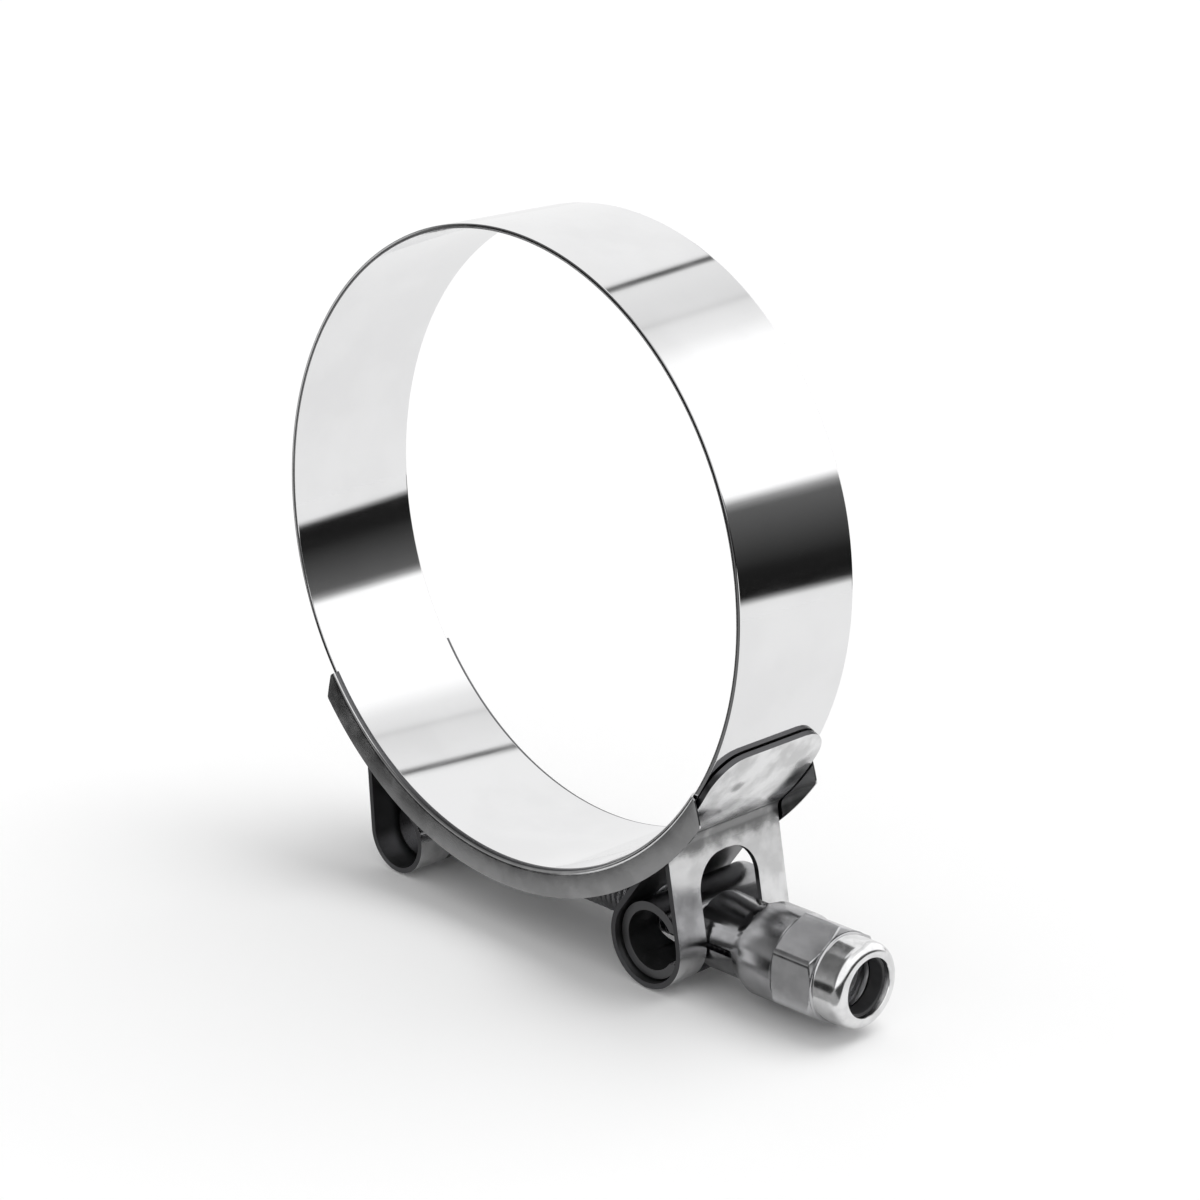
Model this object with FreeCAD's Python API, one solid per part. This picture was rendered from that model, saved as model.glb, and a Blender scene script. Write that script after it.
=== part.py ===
"""T bolt hose clamp: a spring band closed by a bolt with a crosswise head and a lock nut.

Millimetres, +Z up. The origin is the middle of the ring, and the ring's axis is Y.
The nut side is +X. The clamp stands on the undersides of its two loops.
"""
import FreeCAD, Part
from FreeCAD import Vector
from math import asin, atan2, cos, degrees, hypot, radians, sin, tan
import os

# Band and bridge
band_outer_radius = 40.0
band_sheet = 0.6
band_width = 19.0
band_end_past_crease = 3.0
bridge_sheet = 0.22
bridge_start_angle = 216.7
bridge_end_angle = 327.8
bridge_flange_height = 3.6
bridge_side_clearance = 0.35
bridge_bend = 0.45
bridge_bevel = 2.2

# Loops, both bent from the same strip
loop_sheet = 0.7
loop_slip = 0.2
crease_bend_radius = 0.6
leaf_corner_radius = 4.5
head_eye_angle = 245.05
nut_eye_angle = 301.35
rest_below_band = 8.2
head_eye_clearance = 0.3
nut_eye_clearance = 0.3
head_leaf_crease_angle = 229.5
head_leaf_end_angle = 217.5
nut_leaf_crease_angle = 316.5
nut_leaf_end_angle = 336.3
nut_slot_width = 10.0
nut_slot_top = 10.6
nut_slot_corner = 4.4
nut_slot_foot_angle = 58.0
bolt_slot_width = 8.2
bolt_slot_corner = 3.0
bolt_slot_foot_angle = 62.0
bolt_slot_headroom = 1.2

# Bolt
bolt_diameter = 6.35
bolt_shank_diameter = 5.7
bolt_head_diameter = 8.0
bolt_head_length = 12.0
bolt_thread_start = 13.0
bolt_end_in_nut = 6.6
bolt_end_chamfer = 0.8
bolt_head_chamfer = 0.5

# Trunnion
trunnion_sheet = 1.1
trunnion_barrel_diameter = 9.7
trunnion_barrel_length = 17.2
trunnion_bolt_clearance = 0.55
trunnion_seam_height = 4.0
trunnion_slit_height = 0.9
trunnion_flare_start = 9.6
trunnion_flare_length = 2.2
trunnion_bell_diameter = 11.6
trunnion_reach = 16.6

# Lock nut and its insert
nut_across_flats = 11.1
nut_hex_height = 6.2
nut_height = 10.4
nut_corner_ease = 0.37
nut_bolt_clearance = 0.22
nut_collar_diameter = 10.6
nut_collar_dome = 1.2
nut_collar_hole = 7.3
nut_collar_lip = 0.8
insert_outer_diameter = 9.1
insert_height = 2.2
insert_bolt_clearance = 0.2

# Worked out from the sizes above
half_width = band_width / 2
band_inner_radius = band_outer_radius - band_sheet
bridge_inner_radius = band_inner_radius - bridge_sheet
head_eye_radius = bolt_head_diameter / 2 + head_eye_clearance
nut_eye_radius = trunnion_barrel_diameter / 2 + nut_eye_clearance
rest_height = band_outer_radius + rest_below_band
head_eye_z = -(rest_height - head_eye_radius - loop_sheet)
nut_eye_z = -(rest_height - nut_eye_radius - loop_sheet)
head_eye_x = head_eye_z / tan(radians(head_eye_angle))
nut_eye_x = nut_eye_z / tan(radians(nut_eye_angle))
eye_distance = hypot(nut_eye_x - head_eye_x, nut_eye_z - head_eye_z)
bolt_tilt = degrees(atan2(nut_eye_z - head_eye_z, nut_eye_x - head_eye_x))
bolt_radius = bolt_diameter / 2
bolt_length = eye_distance + trunnion_reach + bolt_end_in_nut
everywhere = 4 * band_outer_radius

Y_AXIS = Vector(0, 1, 0)
X_AXIS = Vector(1, 0, 0)
CENTRE = Vector(0, 0, 0)


def polar(radius, angle, centre=(0.0, 0.0)):
    """A point (x, z) at an angle in degrees, counted from +X towards +Z."""
    return (centre[0] + radius * cos(radians(angle)), centre[1] + radius * sin(radians(angle)))


def at(point, y=0.0):
    """A point (x, z) of the side view as a vector in space."""
    return Vector(point[0], y, point[1])


def across(face, width):
    """A face in the side view, made as wide as given and centred on the band."""
    solid = face.extrude(Vector(0, width, 0))
    solid.translate(Vector(0, -width / 2, 0))
    return solid


def ring_piece(inner, outer, start, end, width, centre=(0.0, 0.0)):
    """A strip bent to an arc in the side view, from the start angle up to the end angle."""
    middle = (start + end) / 2
    corners = [at(polar(inner, start, centre)), at(polar(outer, start, centre))]
    corners += [at(polar(outer, end, centre)), at(polar(inner, end, centre))]
    edges = [
        Part.LineSegment(corners[0], corners[1]).toShape(),
        Part.Arc(corners[1], at(polar(outer, middle, centre)), corners[2]).toShape(),
        Part.LineSegment(corners[2], corners[3]).toShape(),
        Part.Arc(corners[3], at(polar(inner, middle, centre)), corners[0]).toShape(),
    ]
    return across(Part.Face(Part.Wire(edges)), width)


def straight_piece(start, end, sheet, width):
    """A flat piece of strip in the side view, with its middle line from start to end."""
    run = hypot(end[0] - start[0], end[1] - start[1])
    side = Vector(-(end[1] - start[1]) / run, 0, (end[0] - start[0]) / run) * (sheet / 2)
    corners = [at(start) + side, at(start) - side, at(end) - side, at(end) + side]
    return across(Part.Face(Part.makePolygon(corners + corners[:1])), width)


def round_bar(start, direction, diameter, length):
    """A round bar from a point, along a direction."""
    return Part.makeCylinder(diameter / 2, length, start, direction)


def rounded_window(width, height, corner, depth):
    """A slot cutter along +X from the origin: rounded at its top corners, its foot at z = 0."""
    block = Part.makeBox(depth, width, height, Vector(0, -width / 2, 0))
    top_corners = []
    for edge in block.Edges:
        box = edge.BoundBox
        if box.XLength > depth / 2 and box.ZMin > height / 2:
            top_corners.append(edge)
    return block.makeFillet(corner, top_corners)


def along_bolt(shape, eye_x, eye_z):
    """A shape made along +X from the origin, turned to the bolt's line and set on an eye's axis."""
    moved = shape.copy()
    moved.rotate(CENTRE, Y_AXIS, -bolt_tilt)
    moved.translate(Vector(eye_x, 0, eye_z))
    return moved


def make_band():
    """The spring strip. Both ends run a little past the crease of their loop, over the bridge."""
    past = degrees(band_end_past_crease / band_outer_radius)
    start = nut_leaf_crease_angle - 360 - past
    end = head_leaf_crease_angle + past
    return ring_piece(band_inner_radius, band_outer_radius, start, end, band_width)


def bridge_section():
    """Half of the bridge's U section in the XY plane, with X as the radius and a flat bend."""
    sheet = bridge_sheet
    low = bridge_inner_radius
    tip = low + bridge_flange_height
    wall_in = half_width + bridge_side_clearance
    wall_out = wall_in + sheet
    bend = bridge_bend
    inside_bend = bend - sheet * tan(radians(22.5))
    points = [
        (low, 0),
        (low, wall_out - bend),
        (low + bend, wall_out),
        (tip, wall_out),
        (tip, wall_in),
        (low + sheet + inside_bend, wall_in),
        (low + sheet, wall_in - inside_bend),
        (low + sheet, 0),
    ]
    corners = [Vector(x, y, 0) for x, y in points]
    return Part.Face(Part.makePolygon(corners + corners[:1]))


def bevel_cutter(angle, inward):
    """A wedge that takes the outer corner off both flanges at one end of the bridge."""
    tip = bridge_inner_radius + bridge_flange_height
    foot = bridge_inner_radius + bridge_bend
    step = degrees(bridge_bevel / tip) * inward
    beyond = bridge_flange_height
    corners = [at(polar(foot, angle)), at(polar(tip, angle + step))]
    corners += [at(polar(tip + beyond, angle + step)), at(polar(tip + beyond, angle - step))]
    corners += [at(polar(foot, angle - step))]
    return across(Part.Face(Part.makePolygon(corners + corners[:1])), everywhere)


def make_bridge():
    """The thin saddle that closes the ring's gap, with both edges turned outward as flanges."""
    half = bridge_section()
    half.rotate(CENTRE, Y_AXIS, -bridge_start_angle)
    half = half.revolve(CENTRE, Y_AXIS, -(bridge_end_angle - bridge_start_angle))
    other = half.mirror(CENTRE, Y_AXIS)
    bridge = half.fuse(other).removeSplitter()
    bridge = bridge.cut(bevel_cutter(bridge_start_angle, 1))
    return bridge.cut(bevel_cutter(bridge_end_angle, -1))


def folded_loop(eye_x, eye_z, eye_radius, crease_angle, leaf_end_angle, slip):
    """A strip folded to a drop-shaped eye on the nut side, with its outer leaf on the band.

    The middle line runs down the leaf, turns out at the crease, runs straight to the eye, goes
    round it and comes back along the band to the crease, where it is welded in.
    """
    sheet = loop_sheet
    eye = (eye_x, eye_z)
    leaf_radius = band_outer_radius + slip + sheet / 2
    wrap = eye_radius + sheet / 2
    bend = crease_bend_radius + sheet / 2
    bend_centre = polar(leaf_radius + bend, crease_angle)
    across_x = eye[0] - bend_centre[0]
    across_z = eye[1] - bend_centre[1]
    span = hypot(across_x, across_z)
    heading = degrees(atan2(across_z, across_x)) + degrees(asin((bend + wrap) / span))
    bend_off = polar(bend, heading - 90, bend_centre)
    eye_on = polar(wrap, heading + 90, eye)
    crease = polar(leaf_radius, crease_angle)
    back_x = crease[0] - eye[0]
    back_z = crease[1] - eye[1]
    back = hypot(back_x, back_z)
    back_heading = degrees(atan2(back_z, back_x)) - degrees(asin(wrap / back))
    eye_off = polar(wrap, back_heading + 90, eye)
    on_angle = heading + 90
    off_angle = back_heading + 90
    while off_angle > on_angle:
        off_angle -= 360
    inner = band_outer_radius + slip
    bend_start = crease_angle - 180
    bend_end = heading - 90
    while bend_end < bend_start:
        bend_end += 360
    leaf = ring_piece(inner, inner + sheet, crease_angle, leaf_end_angle, band_width)
    leaf = leaf.cut(leaf_corners(leaf_end_angle))
    pieces = [
        ring_piece(bend - sheet / 2, bend + sheet / 2, bend_start, bend_end, band_width, bend_centre),
        straight_piece(bend_off, eye_on, sheet, band_width),
        ring_piece(eye_radius, eye_radius + sheet, off_angle, on_angle, band_width, eye),
        straight_piece(eye_off, crease, sheet, band_width),
    ]
    return leaf.multiFuse(pieces).removeSplitter()


def leaf_corners(leaf_end_angle):
    """Cutter that rounds the two corners at the free end of a leaf, looking along the radius."""
    corner = min(leaf_corner_radius, half_width)
    reach = leaf_corner_radius + loop_sheet
    start = Vector(band_outer_radius - reach, half_width - corner, -corner)
    block = Part.makeBox(2 * reach, 2 * corner, 2 * corner, start)
    tool = block.cut(Part.makeCylinder(corner, 2 * reach, start, X_AXIS))
    tool = tool.fuse(tool.mirror(CENTRE, Y_AXIS))
    tool.rotate(CENTRE, Y_AXIS, -leaf_end_angle)
    return tool


def make_head_loop():
    """The loop round the bolt's head: slotted on the side that the shank leaves by.

    It is folded as on the nut side, with its angles counted across the upright line, and mirrored.
    """
    upright = 2 * 270.0
    loop = folded_loop(-head_eye_x, head_eye_z, head_eye_radius, upright - head_leaf_crease_angle,
                       upright - head_leaf_end_angle, 0.0)
    loop = loop.mirror(CENTRE, X_AXIS)
    outside = head_eye_radius + loop_sheet
    foot = head_eye_z - outside * sin(radians(bolt_slot_foot_angle))
    top = head_eye_z + bolt_slot_width / 2 + bolt_slot_headroom
    window = rounded_window(bolt_slot_width, top - foot, bolt_slot_corner, 2 * outside)
    window.translate(Vector(head_eye_x, 0, foot))
    return loop.cut(window)


def make_nut_loop():
    """The loop round the trunnion: a wide arched slot in its outer leaf, a narrower one inside."""
    loop = folded_loop(nut_eye_x, nut_eye_z, nut_eye_radius, nut_leaf_crease_angle,
                       nut_leaf_end_angle, loop_slip)
    outside = nut_eye_radius + loop_sheet
    foot = nut_eye_z - outside * sin(radians(nut_slot_foot_angle))
    arch_top = nut_eye_z + nut_slot_top
    arch = rounded_window(nut_slot_width, arch_top - foot, nut_slot_corner, 2 * outside)
    arch.translate(Vector(nut_eye_x, 0, foot))
    inside_top = nut_eye_z + bolt_slot_width / 2 + bolt_slot_headroom
    inside = rounded_window(bolt_slot_width, inside_top - foot, bolt_slot_corner, 2 * outside)
    inside.translate(Vector(nut_eye_x - 2 * outside, 0, foot))
    return loop.cut(arch).cut(inside)


def make_bolt():
    """Forged in one piece: crosswise head with eased ends, plain shank, thread blank with a chamfer."""
    head_start = Vector(0, -bolt_head_length / 2, 0)
    head = round_bar(head_start, Y_AXIS, bolt_head_diameter, bolt_head_length)
    head = head.makeChamfer(bolt_head_chamfer, [edge for edge in head.Edges if len(edge.Vertexes) == 1])
    shank = round_bar(CENTRE, X_AXIS, bolt_shank_diameter, bolt_thread_start)
    thread_radius = bolt_radius
    root = bolt_shank_diameter / 2
    profile = [
        (bolt_thread_start, 0),
        (bolt_thread_start, root),
        (bolt_thread_start + thread_radius - root, thread_radius),
        (bolt_length - bolt_end_chamfer, thread_radius),
        (bolt_length, thread_radius - bolt_end_chamfer),
        (bolt_length, 0),
    ]
    thread = turned(profile)
    return along_bolt(head.fuse(shank).fuse(thread).removeSplitter(), head_eye_x, head_eye_z)


def turned(profile):
    """A solid turned about the X axis from points (x, radius)."""
    points = [Vector(x, 0, radius) for x, radius in profile]
    face = Part.Face(Part.makePolygon(points + points[:1]))
    return face.revolve(CENTRE, X_AXIS, 360)


def make_trunnion():
    """Folded sheet: a barrel with an open seam, whose two lips run on as a neck and a bell."""
    sheet = trunnion_sheet
    bore = bolt_radius + trunnion_bolt_clearance
    bell = trunnion_bell_diameter / 2
    flare_end = trunnion_flare_start + trunnion_flare_length
    barrel_start = Vector(0, -trunnion_barrel_length / 2, 0)
    barrel = round_bar(barrel_start, Y_AXIS, trunnion_barrel_diameter, trunnion_barrel_length)
    hollow = round_bar(barrel_start, Y_AXIS, trunnion_barrel_diameter - 2 * sheet, trunnion_barrel_length)
    seam = Part.makeBox(trunnion_barrel_diameter, trunnion_barrel_length, trunnion_seam_height)
    seam.translate(Vector(0, -trunnion_barrel_length / 2, -trunnion_seam_height / 2))
    neck_start = trunnion_barrel_diameter / 2 - sheet
    neck = turned([
        (neck_start, bore),
        (neck_start, bore + sheet),
        (trunnion_flare_start, bore + sheet),
        (flare_end, bell),
        (trunnion_reach, bell),
        (trunnion_reach, bell - sheet),
        (flare_end, bell - sheet),
        (trunnion_flare_start, bore),
    ])
    slit = Part.makeBox(trunnion_flare_start - neck_start, everywhere, trunnion_slit_height)
    slit.translate(Vector(neck_start, -everywhere / 2, -trunnion_slit_height / 2))
    neck = neck.cut(slit).cut(hollow)
    bolt_way = round_bar(Vector(-everywhere, 0, 0), X_AXIS, 2 * bore, 2 * everywhere)
    trunnion = barrel.cut(hollow).cut(seam).fuse(neck).cut(bolt_way.common(barrel)).removeSplitter()
    return along_bolt(trunnion, nut_eye_x, nut_eye_z)


def make_nut():
    """Hexagon with eased corners, and a domed collar that is closed over the locking ring."""
    flats = nut_across_flats / 2
    corner = flats / cos(radians(30))
    points = [Vector(0, *polar(corner, 60 * step + 30)) for step in range(7)]
    hexagon = Part.Face(Part.makePolygon(points)).extrude(Vector(nut_hex_height, 0, 0))
    hexagon = hexagon.common(turned([
        (0, 0), (0, flats), (nut_corner_ease, corner), (nut_hex_height - nut_corner_ease, corner),
        (nut_hex_height, flats), (nut_hex_height, 0),
    ]))
    collar = nut_collar_diameter / 2
    dome_centre = (nut_height - nut_collar_dome, collar - nut_collar_dome)
    dome = [polar(nut_collar_dome, angle, dome_centre) for angle in (90, 60, 30, 0)]
    shoulder = turned([(nut_corner_ease, 0), (nut_corner_ease, collar)] + dome + [(nut_height, 0)])
    bore = bolt_radius + nut_bolt_clearance
    mouth = nut_collar_hole / 2
    seat = insert_outer_diameter / 2
    seat_end = nut_height - nut_collar_lip
    seat_start = seat_end - insert_height
    hole = turned([
        (-nut_height, 0), (-nut_height, bore), (seat_start, bore), (seat_start, seat),
        (seat_end, seat), (seat_end, mouth), (2 * nut_height, mouth), (2 * nut_height, 0),
    ])
    nut = hexagon.fuse(shoulder).cut(hole).removeSplitter()
    nut.translate(Vector(trunnion_reach, 0, 0))
    return along_bolt(nut, nut_eye_x, nut_eye_z)


def make_insert():
    """The locking ring, seated under the lip of the collar."""
    end = trunnion_reach + nut_height - nut_collar_lip
    start = end - insert_height
    inside = bolt_radius + insert_bolt_clearance
    outside = insert_outer_diameter / 2
    ring = turned([(start, inside), (start, outside), (end, outside), (end, inside)])
    return along_bolt(ring, nut_eye_x, nut_eye_z)


parts = {
    "band": make_band(),
    "bridge": make_bridge(),
    "t_head_loop": make_head_loop(),
    "nut_loop": make_nut_loop(),
    "t_bolt": make_bolt(),
    "trunnion": make_trunnion(),
    "lock_nut": make_nut(),
    "nylon_insert": make_insert(),
}

os.makedirs("parts", exist_ok=True)
for name, shape in parts.items():
    print(name, shape.ShapeType, "solids", len(shape.Solids), "valid", shape.isValid(),
          "volume", round(shape.Volume, 1))
    shape.exportStep("parts/" + name + ".step")
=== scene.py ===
# %% [markdown]
# # An open T bolt hose clamp
# A clamp of this kind is a polished strip bent to a ring. A cross-headed bolt, a rolled trunnion and a
# lock nut pull its two ends together. Polished metal has no colour of its own: it shows what stands
# round it. So this lesson spends its effort on smooth surfaces, which are worked out with numpy, and
# on a plain studio that gives them white, grey and dark things to reflect.

import bmesh
import bpy
import numpy as np
from mathutils import Matrix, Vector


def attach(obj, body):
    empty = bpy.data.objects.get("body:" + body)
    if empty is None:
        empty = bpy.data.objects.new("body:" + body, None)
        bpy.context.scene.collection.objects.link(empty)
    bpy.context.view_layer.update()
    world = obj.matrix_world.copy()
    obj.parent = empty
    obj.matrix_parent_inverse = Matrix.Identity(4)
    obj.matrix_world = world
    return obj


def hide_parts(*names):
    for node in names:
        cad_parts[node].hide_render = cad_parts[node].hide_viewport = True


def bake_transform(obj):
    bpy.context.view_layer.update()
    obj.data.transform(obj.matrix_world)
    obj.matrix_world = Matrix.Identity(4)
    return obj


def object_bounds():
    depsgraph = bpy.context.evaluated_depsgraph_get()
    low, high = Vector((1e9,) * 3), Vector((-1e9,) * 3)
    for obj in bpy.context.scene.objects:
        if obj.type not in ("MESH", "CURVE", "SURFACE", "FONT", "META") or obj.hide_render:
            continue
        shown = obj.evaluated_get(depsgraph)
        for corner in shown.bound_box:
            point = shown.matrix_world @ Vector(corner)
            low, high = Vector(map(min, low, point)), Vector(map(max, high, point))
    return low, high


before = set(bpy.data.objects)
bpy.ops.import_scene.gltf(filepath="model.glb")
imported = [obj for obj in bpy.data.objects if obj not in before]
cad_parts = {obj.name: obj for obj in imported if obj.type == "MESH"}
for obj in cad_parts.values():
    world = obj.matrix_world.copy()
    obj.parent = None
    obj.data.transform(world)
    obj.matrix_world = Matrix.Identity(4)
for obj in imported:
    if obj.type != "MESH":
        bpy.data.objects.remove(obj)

cad_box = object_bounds()
mm = 0.001
print("the frame measures", [round((b - a) / mm, 1) for a, b in zip(*cad_box)], "mm")

# %% [markdown]
# ## Sizes
# Every size below is the real one in millimetres. The ring's middle is the origin and its axis is Y,
# so almost every form is drawn in the side view, X and Z, and then given its width along Y.

# %% The sizes that the pieces share
ring_radius = 40.0
strip = 0.6
half_width = 9.5
band_from = -47.8
band_to = 233.8
head_eye = np.array([-20.099, -43.2])
nut_eye = np.array([25.8, -42.35])
bolt_way = nut_eye - head_eye
bolt_tilt = np.arctan2(bolt_way[1], bolt_way[0])
eye_distance = float(np.hypot(*bolt_way))
trunnion_reach = 16.6
bolt_radius = 3.175
loop_sheet = 0.7
support_inset = 0.06
print("the eyes lie", round(eye_distance, 2), "mm apart, tilt", round(float(np.degrees(bolt_tilt)), 2))

# %% [markdown]
# ## From arrays to meshes
# A surface is a function of two parameters, computed for a whole grid at once. One helper numbers the
# quads of such a grid, and one makes the object. A closed outline carried along a path is a grid that
# wraps round in one direction, with its two ends filled.


# %% Grids, sweeps and turned forms
def grid_quads(rows, columns, wrap_rows=False, wrap_columns=False):
    """Corner numbers of each quad between neighbouring rows and columns; a wrapped side joins up."""
    row = np.arange(rows if wrap_rows else rows - 1)
    column = np.arange(columns if wrap_columns else columns - 1)
    r, c = np.meshgrid(row, column, indexing="ij")
    r_next = (r + 1) % rows
    c_next = (c + 1) % columns
    corners = [r * columns + c, r_next * columns + c, r_next * columns + c_next, r * columns + c_next]
    return np.stack(corners, -1).reshape(-1, 4)


def make_piece(name, points, faces, smooth_angle=35.0):
    """An object at the origin from points in millimetres and faces; edges over the angle stay sharp."""
    mesh = bpy.data.meshes.new(name)
    mesh.from_pydata((np.asarray(points).reshape(-1, 3) * mm).tolist(), [], [list(f) for f in faces])
    tidy = bmesh.new()
    tidy.from_mesh(mesh)
    bmesh.ops.remove_doubles(tidy, verts=tidy.verts, dist=0.002 * mm)
    bmesh.ops.recalc_face_normals(tidy, faces=tidy.faces)
    tidy.to_mesh(mesh)
    tidy.free()
    mesh.shade_smooth()
    mesh.set_sharp_from_angle(angle=np.radians(smooth_angle))
    piece = bpy.data.objects.new(name, mesh)
    bpy.context.scene.collection.objects.link(piece)
    print(name, len(mesh.polygons), "faces")
    return piece


def in_ring(radius, angle, y):
    """Points in space from a radius, an angle in degrees counted from +X towards +Z, and y."""
    turn = np.radians(angle)
    parts = np.broadcast_arrays(radius * np.cos(turn), y, radius * np.sin(turn))
    return np.stack(parts, -1)


def side_point(radius, angle):
    """A point in the side view (x, z) from a radius and an angle in degrees."""
    turn = np.radians(angle)
    return radius * np.array([np.cos(turn), np.sin(turn)])


def swept(name, radii, angles, y, smooth_angle=35.0):
    """A closed outline (radius, y) carried round the ring: one row of points for each angle."""
    points = in_ring(radii, angles[:, None], y)
    rows, columns = points.shape[:2]
    faces = grid_quads(rows, columns, wrap_columns=True).tolist()
    faces += [list(range(columns)), list(range((rows - 1) * columns, rows * columns))]
    return make_piece(name, points, faces, smooth_angle)


def arc(centre, radius, start, end, steps):
    """Points on an arc in a plane, from one angle in degrees to another."""
    turn = np.radians(np.linspace(start, end, steps))
    return np.stack([centre[0] + radius * np.cos(turn), centre[1] + radius * np.sin(turn)], -1)


def along_bolt(points, eye=head_eye):
    """Points made along +X from an eye, turned to the bolt's line: x and z turn by the bolt's tilt."""
    x, y, z = np.moveaxis(np.asarray(points), -1, 0)
    c, s = np.cos(bolt_tilt), np.sin(bolt_tilt)
    return np.stack([eye[0] + c * x - s * z, y, eye[1] + s * x + c * z], -1)


def turned_points(x, radius, around):
    """Points of a form turned about the X axis: row i lies at x[i], at radius[i] all the way round."""
    turn = np.linspace(0, 2 * np.pi, around, endpoint=False)
    radius = np.asarray(radius, float).reshape(len(x), -1)
    x = np.repeat(np.asarray(x, float)[:, None], around, 1)
    return np.stack([x, radius * np.sin(turn), radius * np.cos(turn)], -1)


def past_eye(points, eye):
    """How far points in space lie from an eye along the bolt's line."""
    return (points - [eye[0], 0, eye[1]]) @ [np.cos(bolt_tilt), 0, np.sin(bolt_tilt)]


def ease_edges(piece, width):
    """A bevel of two segments on each edge that is sharper than 50 degrees."""
    edge = piece.modifiers.new("eased_edge", "BEVEL")
    edge.width = width * mm
    edge.segments = 2
    edge.limit_method = "ANGLE"
    edge.angle_limit = np.radians(50)
    edge.harden_normals = True


def second_finish(piece, chosen):
    """Gives each face the finish whose number chosen(centre in mm, normal) works out; true is 1."""
    faces = piece.data.polygons
    centre, normal = np.empty(3 * len(faces)), np.empty(3 * len(faces))
    faces.foreach_get("center", centre)
    faces.foreach_get("normal", normal)
    picked = chosen(centre.reshape(-1, 3) / mm, normal.reshape(-1, 3))
    faces.foreach_set("material_index", picked.astype(np.int32))
    print(piece.name, "has", np.bincount(picked.astype(int)).tolist(), "faces of each finish")


def place(piece, body, node, slot):
    """Ties a finished piece to its body and hides the plain solid it stands for; slot is not used."""
    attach(piece, body)
    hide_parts(node)
    return piece


# %% [markdown]
# ## The band
# The real band is a strip of stainless spring steel, 19 mm wide and 0.6 mm thick, with edges that are
# rounded by the rolling. A cylinder with a Solidify modifier would give square edges. An outline with
# rounded corners, carried round the ring, catches light along the rim as the real edge does.


# %% The band's strip
def rounded_outline(low, high, half, corner, steps=5):
    """Outline (radius, y) of a strip: a rectangle whose four corners are quarter circles.

    A point is added just inside each corner on the long sides, so that the wide faces keep their
    own direction right up to the rim and reflect as flat strip does.
    """
    inner, outer = low + corner, high - corner
    side = half - corner
    inset = side - support_inset
    quarters = [((outer, side), 0), ((inner, side), 90), ((inner, -side), 180), ((outer, -side), 270)]
    corners = [arc(c, corner, start, start + 90, steps) for c, start in quarters]
    held = [[], [(low, inset), (low, -inset)], [], [(high, -inset), (high, inset)]]
    return np.concatenate([
        np.concatenate([part, np.reshape(more, (-1, 2))]) for part, more in zip(corners, held)
    ])


rolled_corner = 0.14
edge_lean = 0.35
band_rows = 720
outline = rounded_outline(ring_radius - strip, ring_radius, half_width, rolled_corner)
angles = np.linspace(band_from, band_to, band_rows)
band = swept("polished_band", outline[:, 0], angles, outline[:, 1])
# The rims get the second finish, a darker steel: painted shade along the rim.
second_finish(band, lambda centre, normal: np.abs(normal[:, 1]) > edge_lean)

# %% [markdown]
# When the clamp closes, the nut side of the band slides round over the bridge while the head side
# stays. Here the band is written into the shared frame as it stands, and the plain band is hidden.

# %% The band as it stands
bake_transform(band)
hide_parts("band")

# %% [markdown]
# ## The bridge
# A thin saddle closes the gap of the ring. Both its long edges are turned outward as flanges, and the
# flanges are cut off slanting at the ends. Its outline is half of a U with a round bend, mirrored. The
# height of the flange is a function of the angle, which gives the slanting ends. A point held just
# inside each bend keeps the saddle's reflections as straight as those of the band.

# %% The bridge's saddle
bridge_sheet = 0.22
bridge_low = ring_radius - strip - bridge_sheet
bridge_from, bridge_to = 216.7, 327.8
flange_height, flange_side = 3.6, 10.07
bend = 0.75
bend_steps = 9
bevel_run = 2.2
least_flange = 0.02
bridge_rows = 360

angles = np.linspace(bridge_from, bridge_to, bridge_rows)
from_end = np.minimum(angles - bridge_from, bridge_to - angles) * np.radians(1) * ring_radius
foot = bridge_low + bend + bridge_sheet
tip = np.minimum(bridge_low + flange_height, foot + (from_end / bevel_run) * (flange_height - bend))
tip = np.maximum(tip, foot + least_flange)
centre = (bridge_low + bend, flange_side - bend)
outer_bend = arc(centre, bend, 180, 90, bend_steps)
inner_bend = arc(centre, bend - bridge_sheet, 90, 180, bend_steps)
held = flange_side - bend - support_inset
half_y = np.concatenate([
    [held], outer_bend[:, 1], [flange_side, flange_side - bridge_sheet], inner_bend[:, 1], [held],
])
tips = np.stack([tip, tip], 1)
rows = len(angles)
saddle_low = np.append(bridge_low, outer_bend[:, 0])
saddle_high = np.append(inner_bend[:, 0], bridge_low + bridge_sheet)
half_r = np.concatenate([np.tile(saddle_low, (rows, 1)), tips, np.tile(saddle_high, (rows, 1))], 1)
radii = np.concatenate([half_r, half_r[:, ::-1]], 1)
bridge = swept("flanged_bridge", radii, angles, np.concatenate([half_y, -half_y[::-1]]))


def bridge_finish(centre, normal):
    """1 on the flanges, 2 on the bends between them and the saddle, else 0."""
    side = np.abs(centre[:, 1])
    past_saddle = side > bend_from
    return 1 * past_saddle + past_saddle * (side < bend_to)


# The bends take the third finish, a near black steel: painted shade.
bend_from = held + 0.1
bend_to = flange_side - bridge_sheet - 0.02
second_finish(bridge, bridge_finish)
place(bridge, "clamp_band", "bridge", "bridge")

# %% [markdown]
# ## The two loops
# Each end of the ring carries a strip that is folded back on itself round an eye. In the side view
# it is a path of arcs and straight runs that touch each other smoothly. Across the path the strip is
# split into a left and a right half. Where a slot passes, the halves draw apart, and where there is
# none they meet, so a slot with round corners needs no boolean cut. Solidify gives the sheet.


# %% The path of a folded loop
leaf_steps, crease_steps, run_steps, eye_steps, back_steps = 110, 16, 90, 200, 60


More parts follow.
